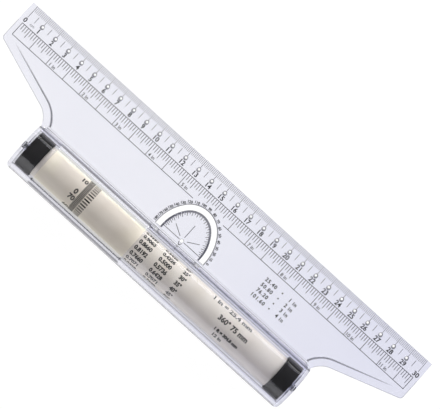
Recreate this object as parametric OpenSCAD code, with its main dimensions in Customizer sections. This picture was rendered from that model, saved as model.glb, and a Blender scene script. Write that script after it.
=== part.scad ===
// Rolling ruler: a clear bevelled blade moulded in one with the arched
// housing of a free-turning roller, whose two rubber tyres roll on the paper.
//
// Millimetres, +Z up. X runs along the scale, +Y points to the scale edge,
// and z = 0 is the paper, where the tyres touch it.

/* [Blade] */
// Length of the blade
blade_length = 306.5; // [300:0.5:320]
// Distance from the scale edge to the tip of each wing
blade_width = 26.5; // [24:0.5:30]
// Thickness of the blade behind its bevel
blade_thickness = 2.2; // [1.6:0.1:3]
// Thickness left at the scale edge
edge_thickness = 0.9; // [0.6:0.1:1.4]
// Width of the bevel along the scale edge
bevel_width = 12.1; // [10:0.1:14]
// Thickness of the blade where it meets the housing
root_thickness = 3.6; // [3:0.1:5]
// Distance from the scale edge to where the blade starts to thicken
rise_start = 24; // [20:0.5:30]
// Level strip of blade in front of the housing
root_strip = 5.4; // [5.2:0.1:9]
// Radius of the corner at each wing tip
tip_radius = 2.5; // [1:0.1:4]
// Height of the blade's underside over the paper
paper_gap = 0.4; // [0.2:0.1:1]

/* [Wings] */
// Slope of each wing's edge, in degrees
wing_angle = 18.7; // [15:0.1:22]
// Radius of the curve from the wing's edge into the housing's end
wing_curve = 14; // [10:0.5:18]
// Width of the thin flange along the wing's edge
flange_width = 4.5; // [3:0.1:6]
// Thickness of the flange where it meets the housing
flange_thickness = 1.3; // [0.8:0.1:2]
// Width of the sloped step from the flange up to the thickest part of the blade
step_run = 1.0; // [0.3:0.1:1.5]

/* [Pencil holes] */
// Spacing of the pencil holes
hole_pitch = 10; // [8:0.5:10]
// Number of pencil holes
hole_count = 29; // [9:2:29]
// Diameter of a pencil hole at the blade's underside
hole_diameter = 1.4; // [1:0.1:2.5]
// How much wider its mouth is on each side at the blade's upper face
hole_flare = 0.5; // [0.2:0.1:0.8]
// Distance from the scale edge to the row of pencil holes
hole_setback = 6.9; // [5:0.1:10]

/* [Protractor slot] */
// Half of the arched slot's outer width
arch_half_width = 18; // [16:0.5:20]
// Height of the slot's crown over the base line
arch_rise = 22.5; // [20.5:0.5:23]
// Radius of the slot's crown
arch_crown = 15.5; // [13:0.5:15.5]
// Width of the slot
slot_width = 3.2; // [2:0.1:4]
// Length of the slot's legs past the base line
slot_leg = 1.9; // [1:0.1:2]
// Width of the bevel round the slot's outer edge
rim_bevel = 0.5; // [0.2:0.1:1]
// Width of the bevel round the island inside the slot
island_bevel = 1.2; // [0.3:0.1:1.5]
// Depth of both bevels
bevel_depth = 1.7; // [0.5:0.1:1.8]
// Distance from the base line to the housing
base_to_housing = 3.9; // [3.5:0.1:6]
// Diameter of the pivot hole on the base line
pivot_diameter = 2; // [1.5:0.1:3]

/* [Housing] */
// Outer length of the housing
housing_length = 204; // [190:1:220]
// Wall of the arched cover
housing_wall = 2.3; // [1.6:0.1:3]
// Thickness of the end walls
end_wall = 1.8; // [1.4:0.1:3]
// Radius of the housing's upright corners
housing_corner = 2.5; // [1:0.1:3]
// Room between the tyres and the cover
tyre_room = 1.2; // [0.8:0.1:2]
// Distance from the scale edge to the roller's axis
axis_setback = 63.2; // [60:0.1:70]
// Radius of the fillet between the blade and the housing
root_fillet = 1.6; // [0.8:0.1:2]
// Diameter of the pin boss inside each end wall
boss_diameter = 7; // [5:0.1:9]
// Height of the pin boss
boss_height = 0.9; // [0.5:0.1:1.5]

/* [Thumb window] */
// Length of the window in the cover
window_length = 66.4; // [40:0.2:80]
// Distance from the housing's left end to the window
window_start = 16.4; // [14:0.2:30]
// Height of the window's sill over the roller's axis
window_sill = 6.2; // [4:0.1:8]
// Radius of the window's lower corners
window_corner = 2; // [1:0.1:4]

/* [Roller] */
// Distance that one turn rolls
travel_per_turn = 75; // [70:1:80]
// Width of a tyre
tyre_width = 10.4; // [8:0.1:12]
// Thickness of a tyre
tyre_thickness = 2.3; // [1.5:0.1:2.5]
// Radius of a tyre's edges
tyre_edge = 0.7; // [0.3:0.1:1]
// Diameter of the drum
drum_diameter = 20.4; // [20:0.1:21]
// Wall of the drum
drum_wall = 2; // [1.5:0.1:2.5]
// Length of a hub's spigot inside the drum
spigot_length = 9; // [6:0.5:14]
// Wall of the hollow spigot and rim
hub_wall = 1.6; // [1.2:0.1:2]
// Diameter of a hub's bearing sleeve
sleeve_diameter = 6.4; // [5.5:0.1:7]
// Thickness of the hub's web
web_thickness = 3; // [2:0.1:4]
// Diameter of an axle pin
pin_diameter = 3; // [2.5:0.1:3.5]
// Length of an axle pin
pin_length = 16; // [10:0.5:20]
// Radius of the dome on an axle pin's inner end
pin_nose = 0.5; // [0.2:0.1:1]

/* [Fits] */
// Radial clearance of a hub turning on its pin
running_gap = 0.05; // [0.02:0.01:0.1]
// Clearance between pieces that are pressed together
seat_gap = 0.02; // [0.01:0.01:0.05]
// Side play between a hub and its boss
side_play = 0.3; // [0.2:0.05:0.6]
// Depth of a pin's end below the housing's end face
pin_recess = 0.2; // [0.1:0.05:0.5]

/* [Hidden] */

$fn = 96;
// How far a cutter reaches past what it cuts
overcut = 1;

tyre_radius = travel_per_turn / (2 * PI);
hub_radius = tyre_radius - tyre_thickness;
drum_radius = drum_diameter / 2;
drum_bore = drum_radius - drum_wall;
cover_inner = tyre_radius + tyre_room;
cover_outer = cover_inner + housing_wall;

half_blade = blade_length / 2;
half_housing = housing_length / 2;
bay_half = half_housing - end_wall;
hub_outer = bay_half - boss_height - side_play;
hub_inner = hub_outer - tyre_width;

// Depth from the scale edge to the back of the housing, centred on y = 0
edge_y = (axis_setback + cover_outer) / 2;
axis_y = edge_y - axis_setback;
axis_z = tyre_radius;
tip_y = edge_y - blade_width;
front_y = axis_y + cover_outer;
base_y = front_y + base_to_housing;
blade_top = paper_gap + blade_thickness;
root_top = paper_gap + root_thickness;
flange_top = paper_gap + flange_thickness;
crown_top = axis_z + cover_outer;

// The wing's edge leaves the tip along the slope, and wing_out is its normal
wing_out = [sin(wing_angle), -cos(wing_angle)];
wing_along = [cos(wing_angle), sin(wing_angle)];
// Centre of the concave curve, which touches the sloped edge and the end wall
curve_x = half_housing + wing_curve;
curve_rise = ((curve_x - half_blade) * sin(wing_angle) - wing_curve) / cos(wing_angle);
curve_centre = [curve_x, tip_y + curve_rise];

// The arch has three centres: its flanks are struck from the base line
flank_radius = (arch_half_width ^ 2 + (arch_rise - arch_crown) ^ 2 - arch_crown ^ 2)
    / (2 * (arch_half_width - arch_crown));
flank_offset = flank_radius - arch_half_width;
crown_height = arch_rise - arch_crown;

// The line through the centres of a flank and the crown, where their arcs meet
arch_joint = [flank_offset, crown_height];
// Slope of the blade's rise towards the housing
rise_end = front_y + root_strip;
rise_angle = atan((root_top - blade_top) / (edge_y - rise_start - rise_end));
// Height of the blade's upper face at the row of pencil holes
hole_top = paper_gap + edge_thickness
    + (blade_thickness - edge_thickness) * hole_setback / bevel_width;
// How far a hole's cone is drawn on past the blade's faces
hole_past = 0.4;

window_left = -half_housing + window_start;

// Extrude a Y-Z outline along X, centred on x = 0
module along_x(length) {
    rotate([90, 0, 90])
        linear_extrude(length, center = true)
            children();
}

// Put a shape that is made along Z on the roller's axis, from x onward
module on_axis(x) {
    translate([x, axis_y, axis_z])
        rotate([0, 90, 0])
            children();
}

// Show a right-hand piece, or its mirror image on the left
module on_side(left) {
    if (left)
        mirror([1, 0, 0])
            children();
    else
        children();
}

// A tube made along Z
module tube(outer, inner, length) {
    difference() {
        cylinder(r = outer, h = length);
        translate([0, 0, -overcut])
            cylinder(r = inner, h = length + 2 * overcut);
    }
}

// What lies outside the right wing's edge, when the edge is moved in by inset
module outside_wing(inset) {
    bend = wing_curve + inset;
    slope_end = curve_centre - bend * wing_out;
    wall_end = curve_centre - [bend, 0];
    slope_far = slope_end + blade_length * wing_along;
    wall_far = wall_end - [0, blade_length];
    polygon([slope_end, curve_centre, wall_end, wall_far, [slope_far.x, wall_far.y], slope_far]);
    translate(curve_centre)
        circle(bend);
}

// The sharp corner that is rounded off at the right wing's tip
module tip_corner() {
    tip = [half_blade, tip_y];
    rise = tip_radius * (1 - sin(wing_angle)) / cos(wing_angle);
    centre = [half_blade - tip_radius, tip_y + rise];
    far_tip = tip + overcut * (wing_out + [1, 0]);
    difference() {
        polygon([centre, centre + tip_radius * wing_out, far_tip, centre + [tip_radius, 0]]);
        translate(centre)
            circle(tip_radius);
    }
}

// The blade seen from above, with its wings moved in by inset
module blade_plan(inset) {
    difference() {
        translate([-half_blade, curve_centre.y])
            square([blade_length, edge_y - curve_centre.y]);
        for (left = [false, true])
            on_side(left) {
                outside_wing(inset);
                tip_corner();
            }
    }
}

// Section of the blade and the thin flange of its wings
module flange_section() {
    polygon([
        [edge_y, paper_gap],
        [edge_y, paper_gap + edge_thickness],
        [edge_y - bevel_width, blade_top],
        [edge_y - rise_start, blade_top],
        [rise_end, flange_top],
        [curve_centre.y, flange_top],
        [curve_centre.y, paper_gap],
    ]);
}

// Section of the middle of the blade, which thickens towards the housing
module plateau_section() {
    polygon([
        [edge_y - bevel_width, paper_gap],
        [edge_y - bevel_width, blade_top],
        [edge_y - rise_start, blade_top],
        [rise_end, root_top],
        [curve_centre.y, root_top],
        [curve_centre.y, paper_gap],
    ]);
}

// What is cut from the plateau so that its step slopes along the right wing
module step_cut() {
    bend = wing_curve + flange_width;
    slope_end = curve_centre - bend * wing_out;
    rise = root_top - flange_top + overcut;
    run = step_run * rise / (root_top - flange_top);
    translate([slope_end.x, slope_end.y, flange_top])
        rotate([90, 0, 90 + wing_angle])
            linear_extrude(blade_length)
                polygon([[-overcut, 0], [0, 0], [run, rise], [-overcut, rise]]);
    translate([curve_centre.x, curve_centre.y, flange_top])
        cylinder(r1 = bend, r2 = bend + run, h = rise);
}

module blade() {
    intersection() {
        linear_extrude(crown_top)
            blade_plan(0);
        along_x(blade_length + 2 * overcut)
            flange_section();
    }
    difference() {
        intersection() {
            linear_extrude(crown_top)
                blade_plan(flange_width);
            along_x(blade_length + 2 * overcut)
                plateau_section();
        }
        for (left = [false, true])
            on_side(left)
                step_cut();
    }
}

// Arch over the roller's axis on straight sides that reach down to low
module arch_section(radius, low) {
    intersection() {
        union() {
            translate([axis_y, axis_z])
                circle(radius);
            translate([axis_y - radius, low])
                square([2 * radius, axis_z - low]);
        }
        translate([axis_y - radius, low])
            square([2 * radius, crown_top]);
    }
}

// Fillet between the blade and the housing's front wall
module root_section() {
    difference() {
        translate([front_y - housing_wall / 2, paper_gap])
            square([housing_wall / 2 + root_fillet, root_thickness + root_fillet]);
        translate([front_y + root_fillet, root_top + root_fillet])
            circle(root_fillet);
    }
}

// Plan of the housing, with its round corners
module housing_plan() {
    end = half_housing - housing_corner;
    side = cover_outer - housing_corner;
    translate([0, axis_y]) {
        translate([-end, -cover_outer])
            square([2 * end, 2 * cover_outer]);
        translate([-half_housing, -side])
            square([housing_length, 2 * side]);
        for (x = [-end, end])
            for (y = [-side, side])
                translate([x, y])
                    circle(housing_corner);
    }
}

// Room for the roller, open towards the paper, with a boss for each pin
module roller_bay() {
    difference() {
        along_x(2 * bay_half)
            arch_section(cover_inner, paper_gap - overcut);
        for (left = [false, true])
            on_side(left)
                on_axis(bay_half - boss_height)
                    cylinder(d = boss_diameter, h = boss_height + overcut);
    }
}

// The part of the cover that is cut away over the drum
module thumb_window() {
    low = axis_z + window_sill;
    high = crown_top + overcut;
    translate([window_left, axis_y, 0])
        rotate([90, 0, 0])
            linear_extrude(2 * (cover_outer + overcut), center = true) {
                translate([window_corner, low])
                    square([window_length - 2 * window_corner, high - low]);
                translate([0, low + window_corner])
                    square([window_length, high - low - window_corner]);
                for (x = [window_corner, window_length - window_corner])
                    translate([x, low + window_corner])
                        circle(window_corner);
            }
}

// A row of cones that open upwards, each drawn on past both faces of the blade
module pencil_holes() {
    depth = hole_top - paper_gap;
    narrow = hole_diameter / 2 - hole_flare * hole_past / depth;
    height = depth + 2 * hole_past;
    for (i = [0 : hole_count - 1])
        translate([(i - (hole_count - 1) / 2) * hole_pitch, edge_y - hole_setback, paper_gap - hole_past])
            cylinder(r1 = narrow, r2 = narrow + hole_flare * height / depth, h = height);
}

// Area under the arch, drawn in by inset, on legs that reach below the base line
module arch_area(inset, leg) {
    joint_height = crown_height
        + (arch_crown - inset) * crown_height / (flank_radius - arch_crown);
    half_width = arch_half_width - inset;
    intersection() {
        translate([0, crown_height])
            circle(arch_crown - inset);
        translate([-half_width, 0])
            square([2 * half_width, arch_rise]);
    }
    intersection() {
        translate([-flank_offset, 0])
            circle(flank_radius - inset);
        translate([flank_offset, 0])
            circle(flank_radius - inset);
        translate([-half_width, 0])
            square([2 * half_width, joint_height]);
    }
    translate([-half_width, -leg])
        square([2 * half_width, leg]);
}

module protractor_slot() {
    translate([0, base_y, 0])
        linear_extrude(root_top + overcut)
            difference() {
                arch_area(0, slot_leg);
                arch_area(slot_width, slot_leg + overcut);
            }
}

// Room over one arc of the slot that widens upwards, from under its bevels to over the blade
module mouth_ring(radius) {
    height = bevel_depth + 2 * overcut;
    rim_lean = rim_bevel / bevel_depth;
    island_lean = island_bevel / bevel_depth;
    rim = radius - rim_lean * overcut;
    island = radius - slot_width + island_lean * overcut;
    translate([0, 0, -bevel_depth - overcut])
        difference() {
            cylinder(r1 = rim, r2 = rim + rim_lean * height, h = height);
            cylinder(r1 = island, r2 = island - island_lean * height, h = height);
        }
}

// Bevels along both edges of the slot, leaning with the blade's rise
module slot_mouth() {
    reach = 2 * arch_rise;
    crown_ray = reach * arch_joint / norm(arch_joint);
    ray_end = [0, crown_height] + crown_ray;
    translate([0, rise_end, root_top])
        rotate([-rise_angle, 0, 0])
            translate([0, base_y - rise_end, 0]) {
                intersection() {
                    translate([0, crown_height, 0])
                        mouth_ring(arch_crown);
                    translate([0, 0, -reach])
                        linear_extrude(2 * reach)
                            polygon([[0, crown_height], ray_end, [-ray_end.x, ray_end.y]]);
                }
                for (left = [false, true])
                    on_side(left)
                        intersection() {
                            translate([-flank_offset, 0, 0])
                                mouth_ring(flank_radius);
                            translate([0, 0, -reach])
                                linear_extrude(2 * reach)
                                    polygon([
                                        [0, crown_height],
                                        [0, -slot_leg],
                                        [reach, -slot_leg],
                                        ray_end,
                                    ]);
                        }
            }
}

module pivot_hole() {
    translate([0, base_y, 0])
        cylinder(d = pivot_diameter, h = root_top + overcut);
}

// One clear moulding: blade, wings, arched cover and end walls
module ruler_body() {
    color("lavender", 0.5)
        difference() {
            union() {
                blade();
                intersection() {
                    along_x(housing_length)
                        arch_section(cover_outer, paper_gap);
                    linear_extrude(crown_top + overcut)
                        housing_plan();
                }
                along_x(housing_length - 2 * housing_corner)
                    root_section();
            }
            roller_bay();
            thumb_window();
            pencil_holes();
            protractor_slot();
            slot_mouth();
            pivot_hole();
            on_axis(-half_housing - overcut)
                cylinder(d = pin_diameter, h = housing_length + 2 * overcut);
        }
}

// Steel pin pressed into an end wall, on which the hub turns
module axle_pin(left) {
    radius = pin_diameter / 2 - seat_gap;
    color("dimgray")
        on_side(left)
            on_axis(half_housing - pin_recess - pin_length)
                rotate_extrude() {
                    translate([0, pin_nose])
                        square([radius, pin_length - pin_nose]);
                    square([radius - pin_nose, pin_length]);
                    translate([radius - pin_nose, pin_nose])
                        intersection() {
                            circle(pin_nose);
                            translate([0, -pin_nose])
                                square(pin_nose);
                        }
                }
}

// Cream plastic tube that carries the printed roller scale
module roller_drum() {
    color("antiquewhite")
        on_axis(-hub_inner)
            tube(drum_radius, drum_bore, 2 * hub_inner);
}

// Black plastic hub: rim under the tyre, spigot in the drum, sleeve on the pin
module hub(left) {
    spigot_radius = drum_bore - seat_gap;
    length = tyre_width + spigot_length;
    bore = pin_diameter / 2 - seat_gap + running_gap;
    rim_start = spigot_length + seat_gap;
    rim_length = tyre_width - seat_gap;
    color("#222226")
        on_side(left)
            on_axis(hub_outer - length) {
                tube(spigot_radius, spigot_radius - hub_wall, spigot_length + web_thickness);
                translate([0, 0, rim_start])
                    tube(hub_radius - seat_gap, hub_radius - seat_gap - hub_wall, rim_length);
                translate([0, 0, rim_start])
                    tube(hub_radius - seat_gap, bore, web_thickness);
                tube(sleeve_diameter / 2, bore, length);
            }
}

// Rubber tyre with rounded edges, stretched over the hub's rim
module tyre(left) {
    color("#1c1c20")
        on_side(left)
            on_axis(hub_inner)
                rotate_extrude() {
                    translate([hub_radius, 0])
                        square([tyre_thickness - tyre_edge, tyre_width]);
                    translate([hub_radius, tyre_edge])
                        square([tyre_thickness, tyre_width - 2 * tyre_edge]);
                    for (x = [tyre_edge, tyre_width - tyre_edge])
                        translate([tyre_radius - tyre_edge, x])
                            circle(tyre_edge);
                }
}

ruler_body();
axle_pin(true);  // left_pin
axle_pin(false);  // right_pin
roller_drum();
hub(true);  // left_hub
hub(false);  // right_hub
tyre(true);  // left_tyre
tyre(false);  // right_tyre
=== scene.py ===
import math

import bmesh
import bpy
from mathutils import Matrix, Vector
from mathutils.bvhtree import BVHTree


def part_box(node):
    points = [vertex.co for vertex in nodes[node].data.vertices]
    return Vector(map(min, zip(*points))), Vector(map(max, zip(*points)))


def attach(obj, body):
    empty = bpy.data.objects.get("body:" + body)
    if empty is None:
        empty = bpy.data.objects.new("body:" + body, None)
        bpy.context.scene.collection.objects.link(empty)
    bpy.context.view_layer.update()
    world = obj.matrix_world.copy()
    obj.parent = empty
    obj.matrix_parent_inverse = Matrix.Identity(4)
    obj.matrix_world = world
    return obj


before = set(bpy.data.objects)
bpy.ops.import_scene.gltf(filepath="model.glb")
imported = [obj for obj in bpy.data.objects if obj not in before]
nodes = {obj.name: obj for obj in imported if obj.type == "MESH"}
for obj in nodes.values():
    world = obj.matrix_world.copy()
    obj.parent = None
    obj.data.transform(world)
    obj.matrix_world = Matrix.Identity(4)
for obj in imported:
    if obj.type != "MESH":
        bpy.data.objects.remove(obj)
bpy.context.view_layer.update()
mm = 0.001

# Clear moulding
# The blade, its wings and the roller's arched housing are one injection moulding in polished
# clear plastic with a breath of violet. Its colour carries painted shade: darker along edges seen
# edge on, along walls facing the lamps, along the window's sill and the blade's corners, and in a
# crescent by each pencil hole, and it turns darker towards the right end as a painted reflection.
# Handling leaves faint smears and hairline scratches on it.
body_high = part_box("ruler_body")[1]
scale_edge = body_high.y
drum_low, drum_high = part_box("roller_drum")
axis_y = (drum_high.y + drum_low.y) / 2
clear_ior = 1.49
clear_tint = (0.853, 0.853, 0.925, 1.0)
# Painted reflection: towards the right end the tint turns darker and bluer, as a light gradient
# mirrored in the blade makes it look
clear_tint_shaded_right = (0.76, 0.765, 0.885, 1.0)
clear_shade_span = (-20 * mm, 120 * mm)
clear_painted_shade = (0.02, 0.02, 0.03, 1.0)
clear_lamp_tint = (0.925, 0.945, 0.86, 1.0)
clear_smears = (0.012, 0.03)
clear_scratches = (0.0, 0.07)
edge_round = 0.22 * mm
edge_samples = 6
edge_fade = 1 * mm
# Painted shade: angles to the view, in degrees, over which the blade, the housing's foot and its
# wall are painted dark
blade_edge_angles = (36, 52)
foot_angles = (68, 78)
wall_angles = (53, 59)
wall_rim_angles = (62, 69)
# Painted shade is strongest on walls facing the scale's side, where the lamps stand
wall_ways = (-0.3, 0.3)
wall_shares = (0.1, 0.95)
wall_heights = (6 * mm, 9 * mm)
blade_start = (-9.5 * mm, -8.5 * mm)
dark_slopes = (30, 52)
# The sill of the thumb window: distance from the roller's axis and share of painted shade of each
# edge line
sill_edges = ((13.75 * mm, 0.88), (-11.65 * mm, 0.95), (-14.05 * mm, 0.85))
sill_line = (0.45 * mm, 0.4 * mm)
sill_span = (-86 * mm, -19 * mm)
sill_height = (15.5 * mm, 16.5 * mm)
# Painted shade along the sharp corners of the blade's upper face, behind the scale
corner_reach = 0.8 * mm
corner_angles = (5, 15)
corner_faces = (0.9, 0.97)
corner_span = (-7 * mm, 26 * mm)
corner_share = 0.75
# Pencil holes, each with a crescent of painted shadow on the roller's side
hole_row = scale_edge - 6.9 * mm
hole_span = (-142 * mm, 142 * mm)
hole_pitch = 10 * mm
crescent_setback = 0.6 * mm
crescent_radius = (1.15 * mm, 1.5 * mm)
crescent_share = 0.95


def new_material(name):
    """A material with one Principled shader, as (material, node tree, shader)."""
    material = bpy.data.materials.new(name)
    material.use_nodes = True
    tree = material.node_tree
    tree.nodes.clear()
    output = tree.nodes.new("ShaderNodeOutputMaterial")
    shader = tree.nodes.new("ShaderNodeBsdfPrincipled")
    tree.links.new(shader.outputs["BSDF"], output.inputs["Surface"])
    return material, tree, shader


def new_effect(name, inputs, outputs):
    """An empty shader group of plain values, as (group, its input node, its output node)."""
    group = bpy.data.node_groups.new(name, "ShaderNodeTree")
    for socket, value in inputs.items():
        made = group.interface.new_socket(socket, in_out="INPUT", socket_type="NodeSocketFloat")
        made.default_value = value
    for socket in outputs:
        group.interface.new_socket(socket, in_out="OUTPUT", socket_type="NodeSocketFloat")
    return group, group.nodes.new("NodeGroupInput"), group.nodes.new("NodeGroupOutput")


def place_effect(tree, group, **values):
    """Place a shader group in a material, with its own values on the group's inputs."""
    node = tree.nodes.new("ShaderNodeGroup")
    node.node_tree = group
    for socket, value in values.items():
        node.inputs[socket.replace("_", " ")].default_value = value
    return node


def map_value(tree, source, low, high, start=0.0, end=1.0):
    """Spread a value from start to end over low to high, and give the socket that holds it."""
    spread = tree.nodes.new("ShaderNodeMapRange")
    spread.inputs["From Min"].default_value = start
    spread.inputs["From Max"].default_value = end
    spread.inputs["To Min"].default_value = low
    spread.inputs["To Max"].default_value = high
    tree.links.new(source, spread.inputs["Value"])
    return spread.outputs["Result"]


def join_values(tree, first, second, operation):
    """Work out one value from two, and give the socket that holds it."""
    joined = tree.nodes.new("ShaderNodeMath")
    joined.operation = operation
    tree.links.new(first, joined.inputs[0])
    tree.links.new(second, joined.inputs[1])
    return joined.outputs["Value"]


def multiply(tree, first, *others):
    """Multiply values."""
    for other in others:
        first = join_values(tree, first, other, "MULTIPLY")
    return first


def largest(tree, first, *others):
    """The largest of some values."""
    for other in others:
        first = join_values(tree, first, other, "MAXIMUM")
    return first


def change_value(tree, source, operation, *numbers):
    """Work out one value from another and fixed numbers, and give the socket that holds it."""
    changed = tree.nodes.new("ShaderNodeMath")
    changed.operation = operation
    tree.links.new(source, changed.inputs[0])
    for index, number in enumerate(numbers, 1):
        changed.inputs[index].default_value = number
    return changed.outputs["Value"]


def split_axes(tree, vector):
    """The parts of a vector, as sockets by the names X, Y and Z."""
    parts = tree.nodes.new("ShaderNodeSeparateXYZ")
    tree.links.new(vector, parts.inputs["Vector"])
    return parts.outputs


def band(tree, source, middle, half_width, fade):
    """A mask that is 1 within half_width of a middle value and fades to 0 past it."""
    away = change_value(tree, source, "SUBTRACT", middle)
    distance = change_value(tree, away, "ABSOLUTE")
    return map_value(tree, distance, 1.0, 0.0, half_width, half_width + fade)


def within(tree, source, span):
    """A mask that is 1 between the two ends of a span."""
    low, high = span
    return band(tree, source, (low + high) / 2, (high - low) / 2, edge_fade)


def mix_colours(tree, factor, first, second):
    """Go from one colour to another as factor goes from 0 to 1, and give the mix node."""
    mix = tree.nodes.new("ShaderNodeMix")
    mix.data_type = "RGBA"
    mix.inputs["A"].default_value = first
    mix.inputs["B"].default_value = second
    tree.links.new(factor, mix.inputs["Factor"])
    return mix


def make_handling_wear():
    """Soft smears and hairline scratches, both from 0 to 1, as handling leaves on plastic."""
    group, entry, leave = new_effect(
        "handling_wear", {"smear scale": 45.0, "scratch scale": 160.0}, ("smears", "scratches")
    )
    links = group.links
    place = group.nodes.new("ShaderNodeTexCoord")
    smear = group.nodes.new("ShaderNodeTexNoise")
    smear.inputs["Detail"].default_value = 4.0
    links.new(place.outputs["Object"], smear.inputs["Vector"])
    links.new(entry.outputs["smear scale"], smear.inputs["Scale"])
    smears = map_value(group, smear.outputs["Fac"], 0.0, 1.0, 0.42, 0.68)
    links.new(smears, leave.inputs["smears"])
    stretch = group.nodes.new("ShaderNodeMapping")
    stretch.inputs["Rotation"].default_value = (0.0, 0.0, math.radians(24))
    stretch.inputs["Scale"].default_value = (0.06, 2.4, 1.0)
    links.new(place.outputs["Object"], stretch.inputs["Vector"])
    hair = group.nodes.new("ShaderNodeTexNoise")
    hair.inputs["Detail"].default_value = 2.0
    links.new(stretch.outputs["Vector"], hair.inputs["Vector"])
    links.new(entry.outputs["scratch scale"], hair.inputs["Scale"])
    scratches = map_value(group, hair.outputs["Fac"], 0.0, 1.0, 0.66, 0.74)
    links.new(scratches, leave.inputs["scratches"])
    return group


handling_wear = make_handling_wear()


def rounded_normal(tree, radius):
    """The surface's normal with sharp edges rounded off."""
    rounded = tree.nodes.new("ShaderNodeBevel")
    rounded.samples = edge_samples
    rounded.inputs["Radius"].default_value = radius
    return rounded.outputs["Normal"]


def cosines(angles):
    """The cosines of angles in degrees."""
    return [math.cos(math.radians(angle)) for angle in angles]


def edge_on_mask(tree, axes):
    """Painted shade where steep faces are seen edge on: the blade's, the housing's foot and its
    wall.
    """
    normal = rounded_normal(tree, edge_round)
    facing = tree.nodes.new("ShaderNodeLayerWeight")
    facing.inputs["Blend"].default_value = 0.5
    tree.links.new(normal, facing.inputs["Normal"])

    def past(angles, low=0.0, high=1.0):
        start, end = (1.0 - cosine for cosine in cosines(angles))
        return map_value(tree, facing.outputs["Facing"], low, high, start, end)

    way = split_axes(tree, normal)
    on_flat = map_value(tree, axes["Y"], 0.0, 1.0, *blade_start)
    blade_edge = multiply(tree, past(blade_edge_angles), on_flat)
    near_paper = map_value(tree, axes["Z"], 1.0, 0.0, *wall_heights)
    low_edge = multiply(tree, largest(tree, blade_edge, past(foot_angles)), near_paper)
    steep = multiply(tree, past(wall_angles), past(wall_rim_angles, 1.0, 0.0))
    # More painted shade on walls facing the lamps on the scale's side
    front = map_value(tree, way["Y"], *wall_shares, *wall_ways)
    up_wall = map_value(tree, axes["Z"], 0.0, 1.0, *wall_heights)
    wall = multiply(tree, steep, front, up_wall)
    level = change_value(tree, way["Z"], "ABSOLUTE")
    slope = map_value(tree, level, 0.0, 1.0, *cosines(dark_slopes))
    return multiply(tree, largest(tree, low_edge, wall), slope)


def sill_mask(tree, axes):
    """Lines of painted shade along the edges of the thumb window's sill."""
    lines = []
    for reach, share in sill_edges:
        line = band(tree, axes["Y"], axis_y + reach, *sill_line)
        lines.append(map_value(tree, line, 0.0, share))
    raised = map_value(tree, axes["Z"], 0.0, 1.0, *sill_height)
    return multiply(tree, largest(tree, *lines), within(tree, axes["X"], sill_span), raised)


def corner_mask(tree, axes, face):
    """Faint lines of painted shade along the sharp corners of the blade's upper face."""
    bent = split_axes(tree, rounded_normal(tree, corner_reach))
    line = map_value(tree, bent["Z"], 0.0, corner_share, *cosines(corner_angles))
    upper = map_value(tree, face["Z"], 0.0, 1.0, *corner_faces)
    return multiply(tree, line, upper, within(tree, axes["Y"], corner_span))


def crescent_mask(tree, axes):
    """A crescent of painted shadow beside each pencil hole."""
    spot = tree.nodes.new("ShaderNodeCombineXYZ")
    from_hole = change_value(tree, axes["X"], "WRAP", hole_pitch / 2, -hole_pitch / 2)
    tree.links.new(from_hole, spot.inputs["X"])
    tree.links.new(axes["Y"], spot.inputs["Y"])
    away = tree.nodes.new("ShaderNodeVectorMath")
    away.operation = "DISTANCE"
    away.inputs[1].default_value = (0.0, hole_row - crescent_setback, 0.0)
    tree.links.new(spot.outputs["Vector"], away.inputs[0])
    crescent = map_value(tree, away.outputs["Value"], crescent_share, 0.0, *crescent_radius)
    return multiply(tree, crescent, within(tree, axes["X"], hole_span))


def make_clear_plastic():
    """Polished clear plastic: glass with painted shade along its edges that lets the lamps' light
    through.
    """
    material, tree, shader = new_material("clear_plastic")
    links = tree.links
    place = tree.nodes.new("ShaderNodeTexCoord")
    axes = split_axes(tree, place.outputs["Object"])
    side = tree.nodes.new("ShaderNodeNewGeometry")
    face = split_axes(tree, side.outputs["True Normal"])
    painted_shade_marks = (
        edge_on_mask(tree, axes),
        sill_mask(tree, axes),
        corner_mask(tree, axes, face),
        crescent_mask(tree, axes),
    )
    outside = map_value(tree, side.outputs["Backfacing"], 1.0, 0.0)
    # Painted shade: these marks darken the plastic's tint, standing in for the shadows its
    # refraction throws on the paper
    dark = multiply(tree, largest(tree, *painted_shade_marks), outside)
    # Painted reflection: the tint turns darker and bluer towards the right end
    along = map_value(tree, axes["X"], 0.0, 1.0, *clear_shade_span)
    clear = mix_colours(tree, along, clear_tint, clear_tint_shaded_right)
    edge_shaded = mix_colours(tree, dark, clear_tint, clear_painted_shade)
    links.new(clear.outputs["Result"], edge_shaded.inputs["A"])
    links.new(edge_shaded.outputs["Result"], shader.inputs["Base Color"])
    wear = place_effect(tree, handling_wear, smear_scale=60.0, scratch_scale=220.0)
    smeared = map_value(tree, wear.outputs["smears"], *clear_smears)
    scratched = map_value(tree, wear.outputs["scratches"], *clear_scratches)
    links.new(largest(tree, smeared, scratched), shader.inputs["Roughness"])
    shader.inputs["IOR"].default_value = clear_ior
    shader.inputs["Transmission Weight"].default_value = 1.0
    lamp_way = tree.nodes.new("ShaderNodeBsdfTransparent")
    lamp_way.inputs["Color"].default_value = clear_lamp_tint
    ray = tree.nodes.new("ShaderNodeLightPath")
    mix = tree.nodes.new("ShaderNodeMixShader")
    links.new(ray.outputs["Is Shadow Ray"], mix.inputs["Fac"])
    links.new(shader.outputs["BSDF"], mix.inputs[1])
    links.new(lamp_way.outputs["BSDF"], mix.inputs[2])
    links.new(mix.outputs["Shader"], tree.nodes["Material Output"].inputs["Surface"])
    return material


def dress(node_name, material):
    """Give a CAD piece its finish."""
    nodes[node_name].material_slots[0].material = material


dress("ruler_body", make_clear_plastic())

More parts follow.
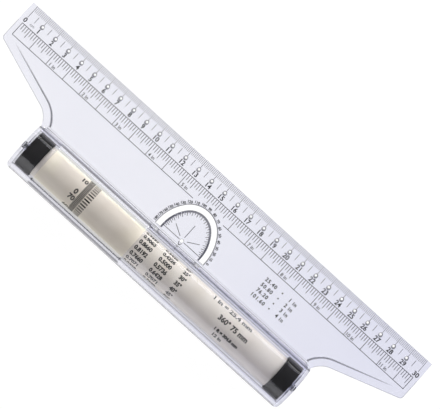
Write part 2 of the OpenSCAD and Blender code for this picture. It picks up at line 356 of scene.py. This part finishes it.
# Axle pins
# Two short pins of drawn steel, pressed into the end walls of the housing, whose ends show as
# dull grey spots. Drawing leaves fine lines along a pin.
pin_colour = (0.20, 0.20, 0.215, 1.0)
pin_roughness = (0.28, 0.5)
pin_lines = 9000.0
piece_round = 0.2 * mm


def round_edges(node):
    """Round a CAD piece's sharp edges without touching its mesh."""
    weld = node.modifiers.new("joined_faces", "WELD")
    weld.merge_threshold = 0.0005 * mm
    flat = node.modifiers.new("flat_faces", "DECIMATE")
    flat.decimate_type = "DISSOLVE"
    flat.angle_limit = math.radians(0.3)
    bevel = node.modifiers.new("round_edges", "BEVEL")
    bevel.limit_method = "ANGLE"
    bevel.angle_limit = math.radians(35)
    bevel.width = piece_round
    bevel.segments = 3
    shade = node.modifiers.new("even_shading", "WEIGHTED_NORMAL")
    shade.keep_sharp = False


def make_pin_steel():
    """Dulled drawn steel with fine lines along the pin."""
    material, tree, shader = new_material("drawn_steel")
    links = tree.links
    place = tree.nodes.new("ShaderNodeTexCoord")
    stretch = tree.nodes.new("ShaderNodeMapping")
    stretch.inputs["Scale"].default_value = (0.05, 1.0, 1.0)
    links.new(place.outputs["Object"], stretch.inputs["Vector"])
    lines = tree.nodes.new("ShaderNodeTexNoise")
    lines.inputs["Scale"].default_value = pin_lines
    links.new(stretch.outputs["Vector"], lines.inputs["Vector"])
    rough = map_value(tree, lines.outputs["Fac"], *pin_roughness, 0.3, 0.7)
    links.new(rough, shader.inputs["Roughness"])
    bump = tree.nodes.new("ShaderNodeBump")
    bump.inputs["Strength"].default_value = 0.2
    bump.inputs["Distance"].default_value = 0.01 * mm
    links.new(lines.outputs["Fac"], bump.inputs["Height"])
    links.new(bump.outputs["Normal"], shader.inputs["Normal"])
    shader.inputs["Base Color"].default_value = pin_colour
    shader.inputs["Metallic"].default_value = 1.0
    return material


pin_steel = make_pin_steel()
for pin in ("left_pin", "right_pin"):
    dress(pin, pin_steel)
    round_edges(nodes[pin])

# Roller drum
# A tube of cream plastic between the two wheels, satin from the mould, a little mottled and
# rubbed by thumbs. It carries the printed scale of the distance rolled.
drum_cream = (0.86, 0.79, 0.715, 1.0)
drum_cream_deep = (0.81, 0.735, 0.655, 1.0)
drum_roughness = (0.28, 0.38)
drum_shine = 0.15


def blend_colours(tree, shader, factor, first, second):
    """Colour a shader from first to second as factor goes from 0 to 1."""
    mix = mix_colours(tree, factor, first, second)
    tree.links.new(mix.outputs["Result"], shader.inputs["Base Color"])


def make_mould_grain():
    """Fine grain of a moulded surface, as a height from 0 to 1."""
    group, entry, leave = new_effect("mould_grain", {"grain scale": 4000.0}, ("height",))
    place = group.nodes.new("ShaderNodeTexCoord")
    grain = group.nodes.new("ShaderNodeTexNoise")
    grain.inputs["Detail"].default_value = 3.0
    group.links.new(place.outputs["Object"], grain.inputs["Vector"])
    group.links.new(entry.outputs["grain scale"], grain.inputs["Scale"])
    group.links.new(grain.outputs["Fac"], leave.inputs["height"])
    return group


mould_grain = make_mould_grain()


def grain_normal(tree, shader, scale, depth, strength):
    """Lay moulded grain on a shader through a bump."""
    grain = place_effect(tree, mould_grain, grain_scale=scale)
    bump = tree.nodes.new("ShaderNodeBump")
    bump.inputs["Strength"].default_value = strength
    bump.inputs["Distance"].default_value = depth
    tree.links.new(grain.outputs["height"], bump.inputs["Height"])
    tree.links.new(bump.outputs["Normal"], shader.inputs["Normal"])


def make_cream_plastic():
    """Satin cream plastic, mottled and rubbed."""
    material, tree, shader = new_material("cream_plastic")
    wear = place_effect(tree, handling_wear, smear_scale=70.0, scratch_scale=300.0)
    blend_colours(tree, shader, wear.outputs["smears"], drum_cream, drum_cream_deep)
    rough = map_value(tree, wear.outputs["smears"], *drum_roughness)
    tree.links.new(rough, shader.inputs["Roughness"])
    shader.inputs["Specular IOR Level"].default_value = drum_shine
    grain_normal(tree, shader, 5000.0, 0.01 * mm, 0.25)
    return material


dress("roller_drum", make_cream_plastic())
round_edges(nodes["roller_drum"])

# Hubs
# Black plastic hubs that carry the tyres: a rim under the tyre, a spigot pressed into the drum
# and a sleeve that turns on the pin. Plain grained mouldings.
hub_black = (0.018, 0.018, 0.021, 1.0)
hub_black_rubbed = (0.032, 0.032, 0.036, 1.0)
hub_roughness = (0.38, 0.52)


def make_black_plastic():
    """Black moulded plastic with a fine grain."""
    material, tree, shader = new_material("black_plastic")
    wear = place_effect(tree, handling_wear, smear_scale=180.0, scratch_scale=600.0)
    blend_colours(tree, shader, wear.outputs["smears"], hub_black, hub_black_rubbed)
    rough = map_value(tree, wear.outputs["smears"], *hub_roughness)
    tree.links.new(rough, shader.inputs["Roughness"])
    grain_normal(tree, shader, 6000.0, 0.02 * mm, 0.4)
    return material


black_plastic = make_black_plastic()
for hub in ("left_hub", "right_hub"):
    dress(hub, black_plastic)
    round_edges(nodes[hub])

# Tyres
# Smooth black rubber bands with round edges, stretched over the hubs. They roll on the paper and
# pick up a little dust, so the rubber is uneven and slightly grey.
rubber_black = (0.006, 0.0055, 0.006, 1.0)
rubber_dusty = (0.012, 0.011, 0.012, 1.0)
rubber_roughness = (0.55, 0.7)
rubber_shine = 0.1


def make_black_rubber():
    """Smooth rubber with fine grain and a trace of dust."""
    material, tree, shader = new_material("black_rubber")
    wear = place_effect(tree, handling_wear, smear_scale=160.0, scratch_scale=500.0)
    blend_colours(tree, shader, wear.outputs["smears"], rubber_black, rubber_dusty)
    rough = map_value(tree, wear.outputs["smears"], *rubber_roughness)
    tree.links.new(rough, shader.inputs["Roughness"])
    shader.inputs["Specular IOR Level"].default_value = rubber_shine
    grain_normal(tree, shader, 7000.0, 0.02 * mm, 0.3)
    return material


black_rubber = make_black_rubber()
for tyre in ("left_tyre", "right_tyre"):
    dress(tyre, black_rubber)

# Centimetre scale
# Dark grey ink printed on the bevel along the scale edge: a tick each millimetre, a second one
# over it each half centimetre, and each centimetre one that ends at its pencil hole, with its
# number behind the hole.
ink_gap = 0.004 * mm
ink_top = 0.024 * mm
blade_ink_colour = (0.03, 0.03, 0.036, 1.0)
centimetres = 30
scale_zero = -centimetres * 10 * mm / 2
scale_fold = scale_edge - 12.1 * mm
millimetre_tick = (0.05 * mm, 3.8 * mm)
half_tick = (4.4 * mm, 8.6 * mm)
centimetre_tick = (0.05 * mm, 5.7 * mm)
end_tick = (0.05 * mm, 8.6 * mm)
millimetre_line = 0.22 * mm
scale_line = 0.28 * mm
centimetre_digit = 2.8 * mm
centimetre_digit_row = scale_edge - 10.4 * mm
centimetre_weight = 0.11 * mm
unit_digit = 1.8 * mm
unit_shift = 5.2 * mm
digit_share = 0.7
ink_roughness = (0.4, 0.6)
ink_wear = 1.9
blade_faces = BVHTree.FromObject(nodes["ruler_body"], bpy.context.evaluated_depsgraph_get())


def on_blade(x, y, lift):
    """A point over the moulding's upper face."""
    hit = blade_faces.ray_cast(Vector((x, y, 2 * body_high.z)), Vector((0, 0, -1)))[0]
    return Vector((x, y, hit.z + lift))


def film(ink, outline, place):
    """Add a closed film of ink over an outline that turns to the left, laid on by place."""
    low = [ink.verts.new(place(x, y, ink_gap)) for x, y in outline]
    high = [ink.verts.new(place(x, y, ink_top)) for x, y in outline]
    ink.faces.new(high)
    ink.faces.new(low[::-1])
    for i in range(len(outline)):
        ink.faces.new((low[i - 1], low[i], high[i], high[i - 1]))


def stroke(ink, start, end, width, place):
    """Add a straight line of ink."""
    start, end = Vector(start), Vector(end)
    side = (end - start).orthogonal().normalized() * width / 2
    film(ink, (start - side, end - side, end + side, start + side), place)


glyphs = bpy.data.objects.new("glyphs", bpy.data.curves.new("glyphs", "FONT"))
bpy.context.scene.collection.objects.link(glyphs)
glyphs.data.align_x = "CENTER"
glyphs.data.resolution_u = 3
glyphs.data.extrude = 1.0


def lettering(ink, text, height, centre, place, turn=0.0, weight=0.0, slices=0.0):
    """Add figures of this height, centred on a point and turned, cut in slices where they bend."""
    glyphs.data.body = text
    glyphs.data.size = height / digit_share
    glyphs.data.offset = weight
    bpy.context.view_layer.update()
    flat = bmesh.new()
    flat.from_mesh(glyphs.to_mesh())
    glyphs.to_mesh_clear()
    bmesh.ops.remove_doubles(flat, verts=flat.verts, dist=0.001 * mm)
    flat.transform(Matrix.Rotation(turn, 4, "Z") @ Matrix.Translation((0, -height / 2, 0)))
    if slices:
        steps = int(height / slices / 2) + 1
        for step in range(-steps, steps + 1):
            everything = flat.verts[:] + flat.edges[:] + flat.faces[:]
            cut = (0, step * slices, 0)
            bmesh.ops.bisect_plane(flat, geom=everything, plane_co=cut, plane_no=(0, 1, 0))
    made = {}
    for vert in flat.verts:
        lift = ink_top if vert.co.z > 0 else ink_gap
        made[vert.index] = ink.verts.new(place(centre[0] + vert.co.x, centre[1] + vert.co.y, lift))
    for face in flat.faces:
        ink.faces.new([made[vert.index] for vert in face.verts])
    flat.free()


def make_ink(name, colour):
    """Flat printing ink, a little uneven in its cover."""
    material, tree, shader = new_material(name)
    cover = place_effect(tree, mould_grain, grain_scale=2500.0)
    worn_colour = tuple(channel * ink_wear for channel in colour[:3]) + (1.0,)
    blend_colours(tree, shader, cover.outputs["height"], colour, worn_colour)
    rough = map_value(tree, cover.outputs["height"], *ink_roughness)
    tree.links.new(rough, shader.inputs["Roughness"])
    return material


def print_piece(name, ink, material, body):
    """Turn a mesh of ink into a piece that moves with a body."""
    mesh = bpy.data.meshes.new(name)
    bmesh.ops.recalc_face_normals(ink, faces=ink.faces)
    ink.to_mesh(mesh)
    ink.free()
    mesh.materials.append(material)
    piece = bpy.data.objects.new(name, mesh)
    bpy.context.scene.collection.objects.link(piece)
    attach(piece, body)


blade_ink = make_ink("blade_ink", blade_ink_colour)
ink = bmesh.new()
for millimetre in range(1, centimetres * 10):
    x = scale_zero + millimetre * mm
    spans = [(millimetre_tick, millimetre_line)]
    if millimetre % 10 == 0:
        spans = [(centimetre_tick, scale_line)]
    elif millimetre % 5 == 0:
        spans.append((half_tick, scale_line))
    for (start, end), line in spans:
        stroke(ink, (x, scale_edge - start), (x, scale_edge - end), line, on_blade)
for centimetre in range(centimetres + 1):
    place = (scale_zero + centimetre * 10 * mm, centimetre_digit_row)
    lettering(ink, str(centimetre), centimetre_digit, place, on_blade, weight=centimetre_weight)
for x in (scale_zero, -scale_zero):
    start, end = end_tick
    stroke(ink, (x, scale_edge - start), (x, scale_edge - end), scale_line, on_blade)
unit_place = (scale_zero + unit_shift, centimetre_digit_row)
lettering(ink, "cm", unit_digit, unit_place, on_blade)
print_piece("centimetre_scale", ink, blade_ink, "ruler")

# Inch scale
# The same ink on the level part of the blade: a ruled box whose ticks hang from the fold line,
# sixteenths to quarters of an inch, with a full line each half inch and a number each inch.
inch = 25.4 * mm
box_line = 0.36 * mm
box_end = -scale_zero
box_foot = scale_edge - 21.5 * mm
fold_line = scale_fold - 0.75 * mm
arch_break = 11.5 * mm
inch_ticks = {8: 8.9 * mm, 4: 5.6 * mm, 2: 4.2 * mm, 1: 3.6 * mm}
inch_line = 0.34 * mm
inch_digit = 2.1 * mm
inch_digit_row = scale_edge - 19.7 * mm
inch_digit_shift = 3.4 * mm
inch_weight = 0.05 * mm

ink = bmesh.new()
stroke(ink, (scale_zero, fold_line), (box_end, fold_line), box_line, on_blade)
stroke(ink, (scale_zero, box_foot), (-arch_break, box_foot), box_line, on_blade)
stroke(ink, (arch_break, box_foot), (box_end, box_foot), box_line, on_blade)
for x in (scale_zero, box_end):
    stroke(ink, (x, fold_line), (x, box_foot), box_line, on_blade)
sixteenths = int((box_end - scale_zero) / inch * 16)
for sixteenth in range(1, sixteenths + 1):
    x = scale_zero + sixteenth * inch / 16
    length = next(inch_ticks[step] for step in (8, 4, 2, 1) if sixteenth % step == 0)
    over_arch = abs(x) < arch_break
    if over_arch:
        length = min(length, inch_ticks[4])
    stroke(ink, (x, fold_line), (x, fold_line - length), inch_line, on_blade)
    if sixteenth % 16 == 0 and not over_arch:
        place = (x + inch_digit_shift, inch_digit_row)
        text = f"{sixteenth // 16} in"
        lettering(ink, text, inch_digit, place, on_blade, weight=inch_weight)
print_piece("inch_scale", ink, blade_ink, "ruler")

# Protractor
# Ink round the arched slot: a base line through the pivot hole, rays at 30 degrees and at the
# square, ticks inside the slot every 5 degrees and numbers outside it every 10.
pivot = Vector((0.0, -4.5451 * mm))
arch_half = 18.0 * mm
arch_rise = 22.5 * mm
arch_crown = 15.5 * mm
slot_width = 3.2 * mm
island_bevel = 1.3 * mm
crown_height = arch_rise - arch_crown
flank = (arch_half**2 + crown_height**2 - arch_crown**2) / (2 * (arch_half - arch_crown))
degree_digit = 1.5 * mm
degree_gap = 1.7 * mm
degree_weight = 0.09 * mm
degree_tick = (1.2 * mm, 2.0 * mm)
degree_line = 0.32 * mm
degree_rays = {30: (3.0 * mm, 10.5 * mm), 90: (2.4 * mm, 11.5 * mm), 150: (3.0 * mm, 10.5 * mm)}
base_gap = 1.6 * mm
base_margin = 0.5 * mm
arrow_barb = (1.1 * mm, -1.2 * mm)
arrow_tip = (0.0, -2.9 * mm)
arrow_line = 0.4 * mm


def ray(angle):
    """The way from the pivot hole at an angle."""
    return Vector((math.cos(angle), math.sin(angle)))


def arch_reach(angle, inset):
    """Distance from the pivot hole to the arch along a ray, with the arch drawn in by inset."""
    along = ray(angle)

    def leave_circle(centre, radius):
        middle = along.dot(centre)
        return middle + math.sqrt(middle**2 + radius**2 - centre.length_squared)

    joint = crown_height + (arch_crown - inset) * crown_height / (flank - arch_crown)
    reach = leave_circle(Vector((0.0, crown_height)), arch_crown - inset)
    if reach * along.y < joint:
        side = -math.copysign(flank - arch_half, along.x)
        reach = leave_circle(Vector((side, 0.0)), flank - inset)
    return reach


ink = bmesh.new()
for degree in range(5, 180, 5):
    angle = math.radians(degree)
    inner = arch_reach(angle, slot_width) - island_bevel
    length = degree_tick[1] if degree % 10 == 0 else degree_tick[0]
    start, end = (pivot + ray(angle) * reach for reach in (inner, inner - length))
    stroke(ink, start, end, degree_line, on_blade)
for degree in range(0, 181, 10):
    angle = math.radians(degree)
    place = pivot + ray(angle) * (arch_reach(angle, 0.0) + degree_gap)
    turn = angle - math.pi / 2
    lettering(ink, str(degree), degree_digit, place, on_blade, turn=turn, weight=degree_weight)
for degree, reaches in degree_rays.items():
    start, end = (pivot + ray(math.radians(degree)) * reach for reach in reaches)
    stroke(ink, start, end, box_line, on_blade)
for side in (-1, 1):
    start = pivot + Vector((side * base_gap, 0.0))
    end = pivot + Vector((side * (arch_half - slot_width - base_margin), 0.0))
    stroke(ink, start, end, box_line, on_blade)
for side in (-1, 1):
    start = pivot + Vector((side * arrow_barb[0], arrow_barb[1]))
    stroke(ink, start, pivot + Vector(arrow_tip), arrow_line, on_blade)
print_piece("protractor_print", ink, blade_ink, "ruler")

# Length table
# Four rows printed on the blade: a length, a dot and the same length in inches.
table_inches = (1, 2, 3, 4)
table_top = scale_edge - 27.4 * mm
table_pitch = 3.9 * mm
table_columns = (54.0 * mm, 70.5 * mm)
table_dot = (62.6 * mm, 0.8 * mm)
table_digit = 2.2 * mm
table_spacing = 1.2
table_weight = 0.1 * mm

ink = bmesh.new()
glyphs.data.space_character = table_spacing
for row, inches in enumerate(table_inches):
    y = table_top - row * table_pitch
    for x, text in zip(table_columns, (f"{inches * inch / mm:.2f}", f"{inches} in")):
        lettering(ink, text, table_digit, (x, y), on_blade, weight=table_weight)
    x, size = table_dot
    stroke(ink, (x - size / 2, y), (x + size / 2, y), size, on_blade)
glyphs.data.space_character = 1.0
print_piece("length_table", ink, blade_ink, "ruler")

# Turn scale
# Black ink round the drum: a ring of numbers for each 10 mm rolled, a ring of fine ticks for the
# millimetres, and a ring of coarse ticks beside it.
drum_radius = (drum_high.z - drum_low.z) / 2
axis_z = (drum_high.z + drum_low.z) / 2
drum_ink_colour = (0.016, 0.014, 0.013, 1.0)
travel = 75
coarse_ticks = 36
bend_slice = 0.35 * mm
fine_band = (-60.2 * mm, -56.8 * mm)
fine_line = 0.6 * mm
coarse_band = (-56.4 * mm, -52.4 * mm)
coarse_line = 0.9 * mm
travel_column = -62.6 * mm
travel_digit = 3.0 * mm
drum_weight = 0.17 * mm


def on_drum(x, along, lift):
    """A point over the drum, this far round it from the top towards the scale edge."""
    angle = along / drum_radius
    reach = drum_radius + lift
    return Vector((x, axis_y + reach * math.sin(angle), axis_z + reach * math.cos(angle)))


drum_ink = make_ink("drum_ink", drum_ink_colour)
drum_round = 2 * math.pi * drum_radius
ink = bmesh.new()
for tick in range(travel):
    along = tick / travel * drum_round
    stroke(ink, (fine_band[0], along), (fine_band[1], along), fine_line, on_drum)
for tick in range(coarse_ticks):
    along = tick / coarse_ticks * drum_round
    stroke(ink, (coarse_band[0], along), (coarse_band[1], along), coarse_line, on_drum)
for number in range(0, travel, 10):
    place = (travel_column, number / travel * drum_round)
    lettering(ink, str(number), travel_digit, place, on_drum, weight=drum_weight, slices=bend_slice)
print_piece("turn_scale", ink, drum_ink, "roller")

# Ratio table
# Black ink round the drum's middle: sixteen rows of a cosine, a sine and their angle.
ratio_start = 15
ratio_step = 5
ratio_rows = 16
ratio_top_row = 4
cosine_column = -13.3 * mm
sine_column = 1.3 * mm
angle_column = 14.4 * mm
ratio_digit = 2.3 * mm
ratio_turn = math.radians(-2.5)

ink = bmesh.new()
for row in range(ratio_rows):
    degree = ratio_start + row * ratio_step
    along = ((ratio_top_row - row) / ratio_rows * 2 * math.pi + ratio_turn) * drum_radius
    cosine = f"{math.cos(math.radians(degree)):.4f}"
    sine = f"{math.sin(math.radians(degree)):.4f}"
    for x, text in ((cosine_column, cosine), (sine_column, sine), (angle_column, f"{degree}°")):
        place = (x, along)
        lettering(ink, text, ratio_digit, place, on_drum, weight=drum_weight, slices=bend_slice)
print_piece("ratio_table", ink, drum_ink, "roller")

# Constants
# Four lines of plain numbers in black ink on the right half of the drum, each with its height,
# its place along the drum and its turn from the top in degrees.
constant_lines = (
    ("1 in = 25.4 mm", 3.3 * mm, 48.4 * mm, 52.0),
    ("360° 75 mm", 3.0 * mm, 54.0 * mm, 11.0),
    ("1 ft = 304.8 mm", 1.85 * mm, 54.2 * mm, -25.0),
    ("12 in", 2.4 * mm, 50.2 * mm, -47.0),
)

ink = bmesh.new()
for text, height, column, turn in constant_lines:
    place = (column, math.radians(turn) * drum_radius)
    lettering(ink, text, height, place, on_drum, weight=drum_weight, slices=bend_slice)
print_piece("constants", ink, drum_ink, "roller")
bpy.data.objects.remove(glyphs)

# Floor
# A plain white table top under the ruler, lit evenly from within so that it stays white, and
# dimmer under the roller, which keeps the light off it.
floor_size = 6.0
floor_grey = (0.10, 0.10, 0.10, 1.0)
floor_roughness = 0.9
floor_light = (1.0, 1.0, 1.0, 1.0)
floor_glow = 0.96
shade_half_length = 99 * mm
shade_half_width = 11.5 * mm
shade_fade = 3.5 * mm
shade_front = 0.4
shade_rear = 0.45

floor_mesh = bpy.data.meshes.new("floor")
half = floor_size / 2
floor_mesh.from_pydata(
    [(-half, -half, 0), (half, -half, 0), (half, half, 0), (-half, half, 0)], [], [(0, 1, 2, 3)]
)
floor = bpy.data.objects.new("floor", floor_mesh)
bpy.context.scene.collection.objects.link(floor)
floor_white, tree, shader = new_material("floor_white")
place = tree.nodes.new("ShaderNodeTexCoord")
axes = split_axes(tree, place.outputs["Object"])
along = band(tree, axes["X"], 0.0, shade_half_length, shade_fade)
across = band(tree, axes["Y"], axis_y, shade_half_width, shade_fade)
rear, front = axis_y - shade_half_width, axis_y + shade_half_width
depth = map_value(tree, axes["Y"], shade_rear, shade_front, rear, front)
glow = map_value(tree, multiply(tree, along, across, depth), floor_glow, 0.0)
tree.links.new(glow, shader.inputs["Emission Strength"])
shader.inputs["Base Color"].default_value = floor_grey
shader.inputs["Roughness"].default_value = floor_roughness
shader.inputs["Emission Color"].default_value = floor_light
floor_mesh.materials.append(floor_white)

# Light
# A thin strip and two soft boxes at its ends stand low on the scale's side, a card stands over
# the roller's side, and the room is dim. The housing's walls guide light down inside the plastic,
# so light may bounce often.
room_grey = (0.17, 0.17, 0.17, 1.0)
wall_bounces = 16
spare_bounces = 8
lamp_aim = Vector((0.0, 0.0, 0.0))
# Name, place, size and power of each lamp
lamps = (
    ("strip_light", (0.0, 0.98, 0.42), (1.4, 0.10), 1.4),
    ("left_light", (-0.9, 0.70, 0.38), (0.5, 0.4), 6.8),
    ("right_light", (0.9, 0.70, 0.38), (0.5, 0.4), 6.8),
    ("rear_card", (0.0, -0.80, 0.42), (1.4, 0.6), 3.0),
)

for name, place, size, power in lamps:
    lamp = bpy.data.lights.new(name, "AREA")
    lamp.shape = "RECTANGLE"
    lamp.size, lamp.size_y = size
    lamp.energy = power
    holder = bpy.data.objects.new(name, lamp)
    holder.location = place
    holder.rotation_euler = (lamp_aim - Vector(place)).to_track_quat("-Z", "Y").to_euler()
    bpy.context.scene.collection.objects.link(holder)
room = bpy.data.worlds.new("room")
room.use_nodes = True
room.node_tree.nodes["Background"].inputs["Color"].default_value = room_grey
bpy.context.scene.world = room
bpy.context.scene.cycles.max_bounces = wall_bounces + spare_bounces
bpy.context.scene.cycles.glossy_bounces = wall_bounces
bpy.context.scene.cycles.transmission_bounces = wall_bounces

# Camera
# A long lens almost straight above, turned so that the ruler runs from upper left to lower right.
camera_distance = 1.2
camera_lens = 172.3
camera_aim = Vector((2.29 * mm, 25.59 * mm, 0.0))
camera_turn = (math.radians(1.2), math.radians(-2.5), math.radians(42.2))

camera = bpy.data.objects.new("camera", bpy.data.cameras.new("camera"))
camera.data.lens = camera_lens
camera.rotation_euler = camera_turn
back = camera.rotation_euler.to_matrix() @ Vector((0.0, 0.0, 1.0))
camera.location = camera_aim + camera_distance * back
bpy.context.scene.collection.objects.link(camera)
bpy.context.scene.camera = camera
bpy.context.scene.view_settings.view_transform = "Standard"
